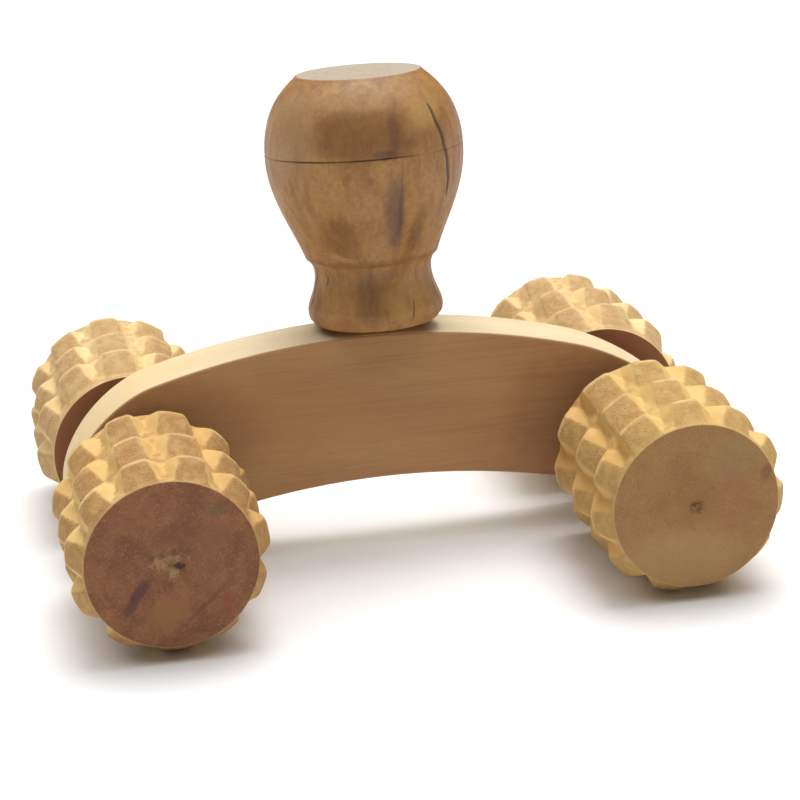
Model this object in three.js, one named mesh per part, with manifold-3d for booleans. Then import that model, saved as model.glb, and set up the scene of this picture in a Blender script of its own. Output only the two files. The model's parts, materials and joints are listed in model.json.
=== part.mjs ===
// Hand-held massage roller of turned and sawn wood: an arched beam on edge, an axle through each of its
// rounded ends, a studded roller glued on each end of each axle, and a turned knob to hold it by.
// Millimetres, +Z up, X along the beam, Y along the axles with -Y at the front. The origin is on the floor
// under the middle of the beam.
import * as THREE from 'three';
import { mergeVertices } from 'three/addons/utils/BufferGeometryUtils.js';
import Module from 'manifold-3d';

// Rollers
const WHEELBASE = 103; // from one axle to the other
const COLUMN_COUNT = 11; // studs in each ring
const RING_COUNT = 3;
const RING_PITCH = 13.8;
const CREST_RADIUS = 20.2; // to the corners of a stud's top
const CREST_LAND = 1.2; // width of a stud's top along the roller
const GROOVE_RADIUS = 17.1; // at the bottom of the grooves between the rings
const FLUTE_RADIUS = 18.4; // at a crest, at the bottom of the lengthwise flutes between the studs
const FACE_RADIUS = 16.8; // of the plain round ends
const ROOT_RADIUS = 16.6; // where the skin of the studs ends, just inside the plain core
const OUTER_RIM = 1; // plain rim at the outer end
const OUTER_SLOPE = 5.2; // from that rim to the middle of the first crest
const INNER_RIM = 3; // plain rim at the inner end
const CENTRE_MARK = { radius: 1.6, depth: 1.2 }; // left by the lathe in the middle of the outer end

// Axles, and the holes that they sit in
const AXLE_RADIUS = 4;
const AXLE_DEPTH = 24; // of the blind hole in each roller
const HOLE_END_GAP = 0.5; // left at the bottom of a blind hole
const GLUE_GAP = 0.1; // round an axle or a dowel that is glued
const RUNNING_GAP = 0.08; // round an axle in the beam, where it turns
const END_CHAMFER = 0.8;

// Beam
const BEAM_THICKNESS = 14;
const SIDE_GAP = 5.2; // from the beam's side to a roller's inner end
const TOP_ARC_RADIUS = 160;
const TOP_ARC_MIDDLE = [-3.4, 26.4]; // the highest point, from the middle between the axles
const TOP_ARC_REACH = 44.8; // along X, from there to where each rounded end starts
const UNDERSIDE_ARC_RADIUS = 160;
const UNDERSIDE_ARC_MIDDLE = [0, -4.8];
const UNDERSIDE_ARC_REACH = 42;
const TIP_REACH = 67.1; // of the beam's ends from its middle
const TIP_RISE = -3.5; // of the ends' outermost points above the axles
const TIP_UPPER_HANDLE = 11.2; // how long an end stays upright above its tip, and below it
const TIP_LOWER_HANDLE = 7.5;
const ARC_HANDLE = 8.6; // how long an end follows on from the top arc, and from the underside
const UNDERSIDE_HANDLE = 12;
const EDGE_EASE = 0.6; // bevel along the beam's edges

// Knob, as [radius, height above its seat]. Its outline passes through the points and bends towards the
// handles between them.
const KNOB_HEIGHT = 52.1;
const SEAT_RADIUS = 10.5; // of its flat seat on the beam
const SEAT_HANDLE = [12.9, 0.2];
const FOOT = [13.4, 1.5];
const FOOT_HANDLE = [14.1, 1.8];
const FLARE = [14.05, 3.8];
const FLARE_HANDLE = [13.95, 5.4];
const NECK_HANDLE = [12.16, 7.7];
const NECK = [12.16, 11.1];
const SHOULDER_HANDLE = [12.16, 13.4];
const SHOULDER = [13.7, 14.4];
const CONE_HANDLE = [16, 21.1];
const LOWER_BULB_HANDLE = [20.45, 27.1];
const LINE_HEIGHT = 36.7; // of the line scribed round the bulb
const LINE_DEPTH = 0.3;
const WIDEST = [20.45, 36.1];
const UPPER_BULB_HANDLE = [20.45, 44.4];
const CAP_HANDLE = [16.95, 48.7];
const CAP_RADIUS = 12.8; // of the flat top
const CAP_EASE = 0.5;
const KNOB_LEAN_BACK = 4.65; // degrees towards +Y, as it was glued
const KNOB_LEAN_LEFT = 0.85; // degrees towards -X
const KNOB_GAP = 0.75; // from the middle of its seat to the crown of the beam, so its back edge touches
const DOWEL_RADIUS = 4;
const DOWEL_IN_KNOB = 20; // depths of the dowel's two holes
const DOWEL_IN_BEAM = 15;

const ROUND_STEPS = 44;
const ARCH_STEPS = 24;
const KNOB_CURVE_STEPS = 6;
const CUT_MARGIN = 1; // by which a cutter reaches past what it cuts

const DEGREES = Math.PI / 180;
const HALF_BASE = WHEELBASE / 2;
const HALF_BEAM = BEAM_THICKNESS / 2;
const STUD_STEP = 360 / COLUMN_COUNT; // degrees
const HALF_TOP_ANGLE = STUD_STEP / 4 * DEGREES; // a stud's top and the flute beside it are equally wide
const AXLE_HEIGHT = CREST_RADIUS * Math.cos(HALF_TOP_ANGLE); // the studs' flat tops lie on the floor
const FIRST_CREST = OUTER_RIM + OUTER_SLOPE;
const LAST_CREST = FIRST_CREST + (RING_COUNT - 1) * RING_PITCH;
const ROLLER_LENGTH = LAST_CREST + RING_PITCH / 2 + INNER_RIM;
const OUTER_FACE = HALF_BEAM + SIDE_GAP + ROLLER_LENGTH; // from the beam's middle plane
const CROWN_HEIGHT = AXLE_HEIGHT + TOP_ARC_MIDDLE[1];

const wasm = await Module();
wasm.setup();

function toSolid(geometry) {
  const bare = geometry.clone();
  bare.deleteAttribute('normal');
  bare.deleteAttribute('uv');
  const merged = mergeVertices(bare, 1e-5);
  return new wasm.Manifold(new wasm.Mesh({
    numProp: 3,
    vertProperties: new Float32Array(merged.attributes.position.array),
    triVerts: new Uint32Array(merged.index.array),
  }));
}

function toGeometry(solid) {
  const { vertProperties, triVerts } = solid.getMesh();
  const geometry = new THREE.BufferGeometry();
  geometry.setAttribute('position', new THREE.BufferAttribute(vertProperties, 3));
  geometry.setIndex(new THREE.BufferAttribute(triVerts, 1));
  return geometry;
}

// Everything round is turned about Y, from points of [radius, place along Y].
function lathe(points, steps = ROUND_STEPS) {
  return new THREE.LatheGeometry(points.map(([radius, y]) => new THREE.Vector2(radius, y)), steps);
}

function bar(radius, start, end) {
  return lathe([[0, start], [radius, start], [radius, end], [0, end]]);
}

function chamferedBar(radius, start, end) {
  return lathe([
    [0, start], [radius - END_CHAMFER, start], [radius, start + END_CHAMFER],
    [radius, end - END_CHAMFER], [radius - END_CHAMFER, end], [0, end],
  ]);
}

// The roller lies along Y with its outer end at y = 0. These are points of its rings, as [radius over the
// studs, place along Y, radius in the flutes].
function ringProfile() {
  const points = [[0, OUTER_RIM, 0], [ROOT_RADIUS, OUTER_RIM, ROOT_RADIUS]];
  for (let ring = 0; ring < RING_COUNT; ring += 1) {
    const crest = FIRST_CREST + ring * RING_PITCH;
    points.push([CREST_RADIUS, crest - CREST_LAND / 2, FLUTE_RADIUS]);
    points.push([CREST_RADIUS, crest + CREST_LAND / 2, FLUTE_RADIUS]);
    points.push([GROOVE_RADIUS, crest + RING_PITCH / 2, ROOT_RADIUS]);
  }
  points.push([0, LAST_CREST + RING_PITCH / 2, 0]);
  return points;
}

// Four columns of points for each stud: the bottom of a flute, an edge of the stud's flat top, the middle
// of that top, and its other edge.
function studGeometry() {
  const profile = ringProfile();
  const geometry = lathe(profile, 4 * COLUMN_COUNT);
  const place = geometry.attributes.position;
  const topMiddle = Math.cos(HALF_TOP_ANGLE);
  for (let i = 0; i < place.count; i += 1) {
    const column = Math.floor(i / profile.length) % 4;
    const [radius, , fluteRadius] = profile[i % profile.length];
    const inFlute = radius > 0 ? fluteRadius / radius : 1;
    const share = [inFlute, 1, topMiddle, 1][column];
    place.setX(i, place.getX(i) * share);
    place.setZ(i, place.getZ(i) * share);
  }
  return geometry;
}

function rollerGeometry() {
  const core = toSolid(lathe([
    [0, CENTRE_MARK.depth], [CENTRE_MARK.radius, 0], [FACE_RADIUS, 0], [FACE_RADIUS, ROLLER_LENGTH],
    [0, ROLLER_LENGTH],
  ]));
  const hole = bar(AXLE_RADIUS + GLUE_GAP, ROLLER_LENGTH - AXLE_DEPTH, ROLLER_LENGTH + CUT_MARGIN);
  return toGeometry(toSolid(studGeometry()).add(core).subtract(toSolid(hole)));
}

function axleGeometry() {
  const half = HALF_BEAM + SIDE_GAP + AXLE_DEPTH - HOLE_END_GAP;
  return chamferedBar(AXLE_RADIUS, -half, half);
}

// Where an arc above its centre ends on one side, and the handle that carries on from it there.
function arcEnd([middle, rise], radius, reach, handle, side) {
  const angle = Math.asin(reach / radius);
  const end = [middle + side * reach, rise - radius + radius * Math.cos(angle)];
  return {
    angle, end, handle: [end[0] + side * handle * Math.cos(angle), end[1] - handle * Math.sin(angle)],
  };
}

// The beam's outline, about the axle line's middle: an arc above, an arc below, and a thumb-shaped end on
// each side that carries both on to its upright tip.
function beamOutline() {
  const top = (side) => arcEnd(TOP_ARC_MIDDLE, TOP_ARC_RADIUS, TOP_ARC_REACH, ARC_HANDLE, side);
  const under = (side) => arcEnd(
    UNDERSIDE_ARC_MIDDLE, UNDERSIDE_ARC_RADIUS, UNDERSIDE_ARC_REACH, UNDERSIDE_HANDLE, side);
  const topAngle = top(1).angle;
  const underAngle = under(1).angle;
  const upright = Math.PI / 2;
  const upper = TIP_RISE + TIP_UPPER_HANDLE;
  const lower = TIP_RISE - TIP_LOWER_HANDLE;

  const outline = new THREE.Shape();
  outline.absarc(
    TOP_ARC_MIDDLE[0], TOP_ARC_MIDDLE[1] - TOP_ARC_RADIUS, TOP_ARC_RADIUS,
    upright + topAngle, upright - topAngle, true);
  outline.bezierCurveTo(...top(1).handle, TIP_REACH, upper, TIP_REACH, TIP_RISE);
  outline.bezierCurveTo(TIP_REACH, lower, ...under(1).handle, ...under(1).end);
  outline.absarc(
    UNDERSIDE_ARC_MIDDLE[0], UNDERSIDE_ARC_MIDDLE[1] - UNDERSIDE_ARC_RADIUS, UNDERSIDE_ARC_RADIUS,
    upright - underAngle, upright + underAngle, false);
  outline.bezierCurveTo(...under(-1).handle, -TIP_REACH, lower, -TIP_REACH, TIP_RISE);
  outline.bezierCurveTo(-TIP_REACH, upper, ...top(-1).handle, ...top(-1).end);
  return outline;
}

// The knob and its dowel stand along Y, with the flat seat at y = 0, until standOnBeam turns them up.
function knobProfile() {
  const path = new THREE.Path();
  path.moveTo(0, 0);
  path.lineTo(SEAT_RADIUS, 0);
  path.quadraticCurveTo(...SEAT_HANDLE, ...FOOT);
  path.quadraticCurveTo(...FOOT_HANDLE, ...FLARE);
  path.bezierCurveTo(...FLARE_HANDLE, ...NECK_HANDLE, ...NECK);
  path.quadraticCurveTo(...SHOULDER_HANDLE, ...SHOULDER);
  path.bezierCurveTo(...CONE_HANDLE, ...LOWER_BULB_HANDLE, ...WIDEST);
  path.bezierCurveTo(...UPPER_BULB_HANDLE, ...CAP_HANDLE, CAP_RADIUS + CAP_EASE, KNOB_HEIGHT - CAP_EASE);
  path.lineTo(CAP_RADIUS, KNOB_HEIGHT);
  path.lineTo(0, KNOB_HEIGHT);
  return path.getPoints(KNOB_CURVE_STEPS);
}

// A ring whose sharp inner edge cuts the scribed line.
function lineCutter() {
  const [widest] = WIDEST;
  const reach = LINE_DEPTH + CUT_MARGIN;
  const inner = widest - LINE_DEPTH;
  const outline = [
    [inner, LINE_HEIGHT], [inner + reach, LINE_HEIGHT - reach], [inner + reach, LINE_HEIGHT + reach],
    [inner, LINE_HEIGHT],
  ];
  return lathe(outline);
}

function knobGeometry() {
  const knob = toSolid(new THREE.LatheGeometry(knobProfile(), ROUND_STEPS));
  const hole = bar(DOWEL_RADIUS + GLUE_GAP, -CUT_MARGIN, DOWEL_IN_KNOB);
  return toGeometry(knob.subtract(toSolid(hole)).subtract(toSolid(lineCutter())));
}

function dowelGeometry() {
  return chamferedBar(DOWEL_RADIUS, HOLE_END_GAP - DOWEL_IN_BEAM, DOWEL_IN_KNOB - HOLE_END_GAP);
}

// Turns what stands along Y from the knob's seat to where it stands on the beam.
function standOnBeam(object) {
  object.position.set(0, 0, CROWN_HEIGHT + KNOB_GAP);
  object.rotation.set(Math.PI / 2 - KNOB_LEAN_BACK * DEGREES, 0, KNOB_LEAN_LEFT * DEGREES);
  object.updateMatrix();
  return object;
}

function beamGeometry() {
  const plank = new THREE.ExtrudeGeometry(beamOutline(), {
    depth: BEAM_THICKNESS - 2 * EDGE_EASE, curveSegments: ARCH_STEPS, bevelEnabled: true, bevelSegments: 1,
    bevelSize: EDGE_EASE, bevelOffset: -EDGE_EASE, bevelThickness: EDGE_EASE,
  });
  plank.translate(0, 0, EDGE_EASE - HALF_BEAM).rotateX(Math.PI / 2).translate(0, 0, AXLE_HEIGHT);
  let beam = toSolid(plank);
  for (const x of [-HALF_BASE, HALF_BASE]) {
    const hole = bar(AXLE_RADIUS + RUNNING_GAP, -HALF_BEAM - CUT_MARGIN, HALF_BEAM + CUT_MARGIN);
    beam = beam.subtract(toSolid(hole.translate(x, 0, AXLE_HEIGHT)));
  }
  const dowelHole = bar(DOWEL_RADIUS + GLUE_GAP, -DOWEL_IN_BEAM, CUT_MARGIN);
  return toGeometry(beam.subtract(toSolid(dowelHole.applyMatrix4(standOnBeam(new THREE.Group()).matrix))));
}

const FRESH_WOOD = { color: 0xd7a55e, roughness: 0.75, metalness: 0 };
const PLANED_WOOD = { color: 0xc29467, roughness: 0.6, metalness: 0 };
const HANDLE_WOOD = { color: 0x956538, roughness: 0.5, metalness: 0 };
const DOWEL_WOOD = { color: 0xc9a06c, roughness: 0.7, metalness: 0 };

function makePiece(name, geometry, finish) {
  const piece = new THREE.Mesh(geometry, new THREE.MeshStandardMaterial(finish));
  piece.name = name;
  return piece;
}

// An axle with its two rollers. Each roller is glued on with either a stud or the space between two studs
// straight down, and then both stand equally high.
function wheelset(side, x, frontStudDown) {
  const set = new THREE.Group();
  set.position.set(x, 0, AXLE_HEIGHT);
  set.add(makePiece(`axle_${side}`, axleGeometry(), DOWEL_WOOD));
  const halfStep = STUD_STEP / 2 * DEGREES;
  const front = makePiece(`roller_front_${side}`, rollerGeometry(), FRESH_WOOD);
  front.position.y = -OUTER_FACE;
  front.rotation.y = frontStudDown ? 0 : halfStep;
  const rear = makePiece(`roller_rear_${side}`, rollerGeometry(), FRESH_WOOD);
  rear.position.y = OUTER_FACE;
  rear.rotation.set(0, frontStudDown ? halfStep : 0, Math.PI);
  set.add(front, rear);
  return set;
}

const handle = standOnBeam(new THREE.Group());
handle.add(makePiece('handle_knob', knobGeometry(), HANDLE_WOOD));
handle.add(makePiece('handle_dowel', dowelGeometry(), DOWEL_WOOD));

const massageRoller = new THREE.Group();
massageRoller.add(makePiece('beam', beamGeometry(), PLANED_WOOD));
massageRoller.add(handle);
massageRoller.add(wheelset('left', -HALF_BASE, true));
massageRoller.add(wheelset('right', HALF_BASE, false));

export default massageRoller;
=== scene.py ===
"""Looks of the hand-held massage roller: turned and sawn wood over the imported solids.

+Z is up, the beam lies along X and the axles along Y, with -Y at the front. Shapes are worked out in
millimetres and made in metres.
"""

import json
import math

import bmesh
import bpy
import numpy as np
from mathutils import Matrix, Vector, noise


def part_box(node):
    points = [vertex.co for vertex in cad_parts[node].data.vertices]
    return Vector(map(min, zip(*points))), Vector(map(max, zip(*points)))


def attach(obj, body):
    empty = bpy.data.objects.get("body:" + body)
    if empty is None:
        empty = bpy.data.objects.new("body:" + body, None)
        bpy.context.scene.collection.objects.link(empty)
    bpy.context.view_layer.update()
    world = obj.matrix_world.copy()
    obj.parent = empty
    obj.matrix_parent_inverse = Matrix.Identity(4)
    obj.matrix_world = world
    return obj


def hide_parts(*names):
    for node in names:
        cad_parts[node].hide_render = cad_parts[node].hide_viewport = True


MM = 0.001

# How far a seed moves the noise of the meshes, and that of the materials
MESH_SHIFT = (17.3, 5.1, 29.7)
MATERIAL_SHIFT = (3.7, 1.9, 5.3)

# Rollers. Places along a roller are from its outer face.
COLUMN_COUNT = 11
CRESTS = (6.2, 20.0, 33.8)
LAST_GROOVE = CRESTS[-1] + (CRESTS[1] - CRESTS[0]) / 2
CREST_RADIUS = 19.98
CREST_LAND = 0.35  # half the width of a crest's flat
RIDGE_ROUND = 0.6  # how far beyond that its sides are still rounded
OUTER_SLOPE = 0.68  # fall of the first ring towards the outer face, and of the other sides
INNER_SLOPE = 0.47
GROOVE_RADIUS = 17.1
FACE_RADIUS = 16.8
CORE_FILLET = 0.25  # where the flutes run out in the core
ROLLER_LENGTH = 43.7
RIM_ROUND = 0.35
RIM_STEPS = 4
RIM_HIGHLIGHT = 0.45  # how much of the crests' painted highlight there is on the rim
BORE_RADIUS = 4.1
BORE_DEPTH = 24.0
INNER_FACE = (  # radii and depths below the inner face, down into the bore
    (14.9, 0), (13.0, 0), (9.5, 0), (6.5, 0), (4.8, 0),
    (BORE_RADIUS + 0.2, 0), (BORE_RADIUS, 0.2), (BORE_RADIUS, 6.0),
)
ROLLER_COLUMNS = 480
ROLLER_ROW = 0.26
FACE_ROW = 0.8
FACE_MARGIN = 0.3  # between the last row of the face and the rim
MARK_RADIUS = 1.6  # of the dimple that the lathe's centre left
MARK_DEPTH = 1.1
CHIPPED_RADIUS = 2.6  # of the torn wood round it, on a chipped face and on the others
TORN_RADIUS = 1.3
TORN_DEPTH = 0.15  # of the torn wood, and how uneven it is
TORN_UNEVEN = 0.55
TORN_ROW = 0.15  # finer rows of the face, out to this reach, and where the wider ones start
TORN_REACH = 4.6
FACE_START = 5.0
DEEPEST_CHIP = 1.2

# The lengthwise flutes between the studs, with how much they differ
FLUTE_DEPTH = 2.6
FLUTE_HALF_WIDTH = 3.0
FLUTE_FLOOR_WIDTH = 0.66  # share of the width and of the depth that is left at the grooves
FLUTE_FLOOR_DEPTH = 0.6
FLUTE_POINT = 0.06  # rounding of the V's point and of its lips, as shares of the V
FLUTE_LIP = 0.17
TURN_SPREAD = 0.7  # in degrees, as is the next
SKEW_SPREAD = 0.9
DEPTH_SPREAD = 0.2
WIDTH_SPREAD = 0.06  # share of the width, and that by which one side of the V is wider than the other
SIDE_SPREAD = 0.1

# Unevenness of the rings and the studs
CREST_WANDER = 0.4
RING_WEAR = 0.2
CREST_HIGHLIGHT_BAND = 0.75  # half the width of the painted highlight along a crest, how strong it is and how unevenly
CREST_HIGHLIGHT = 0.8
CREST_HIGHLIGHT_UNEVEN = 0.6
SMOOTH_DEPTH = 0.5  # depth of cut from which the wood of a flute is smooth
CORE_FROM = -0.3  # heights above the core between which that sets in
CORE_TO = 0.5
SMOOTH_FUZZ = 0.015  # height of the loose fibres in the flutes, and what the torn slopes have on top of it
TORN_FUZZ = 0.055

# Beam, about the middle of the axle line
BEAM_THICKNESS = 14.0
TOP_ARC = {"middle": -3.4, "rise": 26.4, "radius": 160.0, "reach": 44.8, "handle": 8.6}
UNDER_ARC = {"middle": 0.0, "rise": -4.8, "radius": 160.0, "reach": 42.0, "handle": 12.0}
TIP = {"reach": 67.1, "rise": -3.5, "upper": 11.2, "lower": 7.5}
BEAM_EDGE_ROUND = 0.7
BEAM_EDGE_STEPS = 5
AXLE_BORE_RADIUS = 4.08
DRILL_OVERRUN = 2.0
SHARP_ANGLE = math.radians(35)
CURVE_STEPS = 60
UNDER_STEPS = 180
TOP_STEPS = 200

# Knob, as radii and heights above its seat
KNOB_GAP = 0.75  # from the crown of the beam to the middle of the seat
KNOB_LEAN_BACK = math.radians(4.65)
KNOB_LEAN_LEFT = math.radians(0.85)
SEAT_RADIUS = 10.5
KNOB_CURVES = (
    ((SEAT_RADIUS, 0), (12.9, 0.2), (13.4, 1.5)),
    ((13.4, 1.5), (14.1, 1.8), (14.05, 3.8)),
    ((14.05, 3.8), (13.95, 5.4), (12.16, 7.7), (12.16, 11.1)),
    ((12.16, 11.1), (12.16, 13.4), (13.7, 14.4)),
    ((13.7, 14.4), (16, 21.1), (20.45, 27.1), (20.45, 36.1)),
    ((20.45, 36.1), (20.45, 44.4), (16.95, 48.7), (13.1, 51.75)),
)
KNOB_TOP = 52.1
CAP_RADIUS = 12.8
CAP_EDGE = (
    (CAP_RADIUS + 0.14, KNOB_TOP - 0.12), (CAP_RADIUS - 0.12, KNOB_TOP - 0.01), (CAP_RADIUS - 0.6, KNOB_TOP),
)
CAP_ROW = 0.6
CAP_INNERMOST = 0.5
CAP_WEAR = 0.07
KNOB_COLUMNS = 640
KNOB_ROW = 0.22
KNOB_WEAR = 0.05
KNOB_GRAIN = 0.012
LINE_HEIGHT = 36.7
LINE_DEPTH = 0.3
LINE_HALF_WIDTH = 0.28
LINE_REACH = 0.5  # of the finer rows above and below it
LINE_ROWS = 15
LINE_BEARINGS = (-180, -165, -141, -84, -66, -30, 90, 180)  # in degrees, with its strength at each
LINE_STRENGTHS = (0.5, 0.4, 1.0, 1.0, 0.3, 0.35, 0.8, 0.5)
LINE_KEPT = 0.9  # share of the line's depth that is not worn off, how unevenly, and the least of it
LINE_UNEVEN = 0.5
LINE_FAINTEST = 0.3
DOWEL_IN_BEAM = 15.0
DOWEL_IN_KNOB = 20.0
DOWEL_GAP = 0.5  # between its ends and the bottoms of its holes
KNOB_BORE = ((BORE_RADIUS, DOWEL_IN_KNOB), (BORE_RADIUS, 6.0), (BORE_RADIUS, 0.2), (4.3, 0), (7, 0))

# Drying cracks and tool marks in the knob: bearing in degrees and height along each, from its top down,
# then its half width and depth.
KNOB_CHECKS = (
    (((-52.5, 46.2), (-51, 43.0), (-49, 40.2), (-46, 35.4), (-43.5, 31.0), (-42, 27.0)), 0.8, 0.36),
    (((-163, 14.6), (-172, 11.5), (-176, 9.6), (-175, 6.2), (-178, 3.0)), 0.3, 0.55),
    (((-150, 12.0), (-152, 9.5)), 0.22, 0.3),
    (((-64, 6.4), (-66, 4.0), (-68, 2.0)), 0.18, 0.25),
)
CHECK_WANDER = 0.005  # of its path to and fro, in radians, and the radians of that wave per millimetre
CHECK_WAVE = 1.3
CHECK_DARK_DEPTH = 0.2  # from which a crack is dark all through

ROD_RADIUS = 4.0
ROD_PLAY = 0.03
ROD_CHAMFER = 0.8
ROD_COLUMNS = 96
ROD_ROWS = 60


def paint(red, green, blue):
    """A colour of a surface, from its 0 to 255 screen values."""
    screen = np.array([red, green, blue]) / 255
    linear = np.where(screen <= 0.04045, screen / 12.92, ((screen + 0.055) / 1.055) ** 2.4)
    return (*linear.tolist(), 1.0)


# ---------------------------------------------------------------------------- meshes


def bezier(points, count):
    """Points along a Bezier curve, without its last one."""
    t = np.linspace(0, 1, count, endpoint=False)[:, None]
    curve = [np.array(p, float)[None, :] for p in points]
    while len(curve) > 1:
        curve = [a * (1 - t) + b * t for a, b in zip(curve, curve[1:])]
    return curve[0]


def smooth_min(a, b, width):
    """The lesser of two values, rounded off where they cross."""
    return (a + b - np.hypot(a - b, width)) / 2


def bumps(points, size, seed):
    """Smooth noise from -1 to 1 at each of an array of points, with features of that size."""
    shift = Vector([seed * shift for shift in MESH_SHIFT])
    flat = (points.reshape(-1, 3) / size).tolist()
    return np.array([noise.noise(Vector(p) + shift) for p in flat]).reshape(points.shape[:-1])


def closed_skin(name, rings, first, last, attributes=None):
    """A closed mesh through rings of points, shape (rings, columns, 3), with a pole at each end."""
    row_count, column_count, _ = rings.shape
    points = np.vstack([[first], rings.reshape(-1, 3), [last]])
    index = 1 + np.arange(row_count * column_count).reshape(row_count, column_count)
    after = np.roll(index, -1, axis=1)
    quads = np.stack([index[:-1], index[1:], after[1:], after[:-1]], axis=-1).reshape(-1, 4)
    end = len(points) - 1
    faces = quads.tolist()
    faces += [(0, a, b) for a, b in zip(index[0].tolist(), after[0].tolist())]
    faces += [(end, b, a) for a, b in zip(index[-1].tolist(), after[-1].tolist())]
    mesh = bpy.data.meshes.new(name)
    mesh.from_pydata((points * MM).tolist(), [], faces)
    for key, values in (attributes or {}).items():
        layer = mesh.attributes.new(key, "FLOAT", "POINT")
        padded = np.concatenate([[values.flat[0]], values.reshape(-1), [values.flat[-1]]])
        layer.data.foreach_set("value", padded.astype(np.float32))
    return finish_mesh(name, mesh)


def finish_mesh(name, mesh):
    """An object of that mesh, with its faces turned outwards and shaded smooth."""
    work = bmesh.new()
    work.from_mesh(mesh)
    bmesh.ops.recalc_face_normals(work, faces=work.faces)
    work.to_mesh(mesh)
    work.free()
    mesh.shade_smooth()
    piece = bpy.data.objects.new(name, mesh)
    bpy.context.scene.collection.objects.link(piece)
    return piece


def around(radius, along, angles):
    """Points at each radius and place along Y, all the way round."""
    radius = np.broadcast_to(np.reshape(radius, (len(along), -1)), (len(along), len(angles)))
    y = np.broadcast_to(np.array(along, float)[:, None], radius.shape)
    return np.stack([radius * np.cos(angles), y, radius * np.sin(angles)], axis=-1)


def crest_gap(y):
    """Distance along the roller to the nearest crest."""
    return np.abs(y[..., None] - np.array(CRESTS)).min(axis=-1)


def ring_radius(y):
    """Radius of the turned rings, before the flutes are cut."""
    gap = np.maximum(crest_gap(y) - CREST_LAND, 0)
    slope = np.where(y < CRESTS[0], OUTER_SLOPE, INNER_SLOPE)
    return CREST_RADIUS - slope * (np.hypot(gap, RIDGE_ROUND) - RIDGE_ROUND)


def flute_cut(angles, y, ring, first_flute, rng):
    """Depth of the hand-cut V flutes below the rings, each of them a little off."""
    step = math.tau / COLUMN_COUNT
    height = np.clip((ring - GROOVE_RADIUS) / (CREST_RADIUS - GROOVE_RADIUS), 0, 1)
    width_left = FLUTE_FLOOR_WIDTH + (1 - FLUTE_FLOOR_WIDTH) * height
    depth_left = FLUTE_FLOOR_DEPTH + (1 - FLUTE_FLOOR_DEPTH) * height
    cut = np.zeros_like(ring)
    for flute in range(COLUMN_COUNT):
        middle = first_flute + flute * step + math.radians(rng.normal(0, TURN_SPREAD))
        skew = math.radians(rng.normal(0, SKEW_SPREAD)) * (y / ROLLER_LENGTH - 0.5)
        off = angles[None, :] - middle - skew[:, None]
        across = ((off + math.pi) % math.tau - math.pi) * CREST_RADIUS
        half_width = FLUTE_HALF_WIDTH * (1 + rng.normal(0, WIDTH_SPREAD)) * width_left
        half_width = half_width * (1 + rng.normal(0, SIDE_SPREAD) * np.sign(across))
        depth = (FLUTE_DEPTH + rng.normal(0, DEPTH_SPREAD)) * depth_left
        share = 1 + FLUTE_POINT - np.hypot(across / half_width, FLUTE_POINT)
        share = -smooth_min(-share, np.zeros_like(share), FLUTE_LIP)
        cut = np.maximum(cut, depth * share)
    return cut


def roller_side(y, angles, stud_angle, seed, rings_off, inner_radius):
    """Radius of a roller's studded side, the painted highlight along its crests, and where the torn slopes
    of the studs are.
    """
    where = around(np.full(len(y), CREST_RADIUS), y, angles)
    ring = ring_radius(y[:, None] + CREST_WANDER * bumps(where, size=8.0, seed=seed + 5))
    ring = ring - RING_WEAR * (1 + bumps(where, size=7.0, seed=seed))
    ring = ring + np.interp(y, CRESTS, rings_off)[:, None]
    first_flute = stud_angle + math.pi / COLUMN_COUNT
    cut = flute_cut(angles, y, ring, first_flute, np.random.default_rng(seed))
    core = np.interp(y, (LAST_GROOVE, ROLLER_LENGTH), (FACE_RADIUS, inner_radius))[:, None]
    side = -smooth_min(cut - ring, -core, CORE_FILLET)
    in_flute = np.clip((side - core - CORE_FROM) / (CORE_TO - CORE_FROM), 0, 1)
    cone = 1 - np.clip(cut / SMOOTH_DEPTH, 0, 1) * in_flute
    # A painted highlight along each crest, uneven along it and only where the wood is torn
    edge = np.exp(-((crest_gap(y)[:, None] / CREST_HIGHLIGHT_BAND) ** 2))
    edge = edge * (CREST_HIGHLIGHT + CREST_HIGHLIGHT_UNEVEN * bumps(where, size=2.5, seed=seed + 6)) * cone
    fuzz = bumps(where, size=0.6, seed=seed + 1) + 0.7 * bumps(where, size=1.5, seed=seed + 2)
    side = np.minimum(side + (SMOOTH_FUZZ + TORN_FUZZ * cone) * fuzz, CREST_RADIUS)
    return side, edge, cone


def roller_face(angles, seed, chipped):
    """Rings over a roller's outer face, with torn wood round the mark of the lathe's centre."""
    near = np.arange(TORN_ROW, TORN_REACH, TORN_ROW)
    far = np.arange(FACE_START, FACE_RADIUS - RIM_ROUND - FACE_MARGIN, FACE_ROW)
    radii = np.concatenate([near, far])
    face = around(radii, np.zeros(len(radii)), angles)
    torn = bumps(face, size=0.9, seed=seed + 3) + 0.6 * bumps(face, size=0.35, seed=seed + 4)
    spread = radii[:, None] / (CHIPPED_RADIUS if chipped else TORN_RADIUS)
    dimple = MARK_DEPTH * np.clip(1 - radii[:, None] / MARK_RADIUS, 0, 1)
    chips = (TORN_UNEVEN * torn + TORN_DEPTH) * np.exp(-(spread**2))
    face[..., 1] = np.clip(dimple + chips, 0, DEEPEST_CHIP)
    return face


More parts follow.
